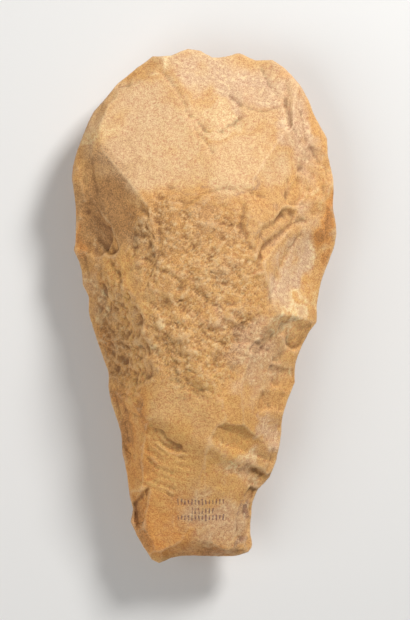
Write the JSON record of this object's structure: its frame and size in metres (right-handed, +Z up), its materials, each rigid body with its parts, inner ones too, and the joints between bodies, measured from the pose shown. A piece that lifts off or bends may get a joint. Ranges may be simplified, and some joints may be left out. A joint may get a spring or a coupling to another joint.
{
  "type": "stone hand axe",
  "caption": "Knapped stone hand axe: a thick tear-drop blade flaked on both faces, with a broad rounded working end, a scalloped edge and a narrow snapped tip.",
  "frame": {"origin": "bottom of the resting spot, under the middle of the bounding box", "axes": "+Y along the stone towards the broad rounded end, -Y to the snapped tip; +Z up out of the more boldly flaked face; +X to the right when that face is seen with the broad end up"},
  "size_m": [0.093, 0.18, 0.0432],
  "materials": {
    "quartzite": "matte"
  },
  "bodies": {
    "root": {"hand_axe": "quartzite"}
  },
  "joints": []
}
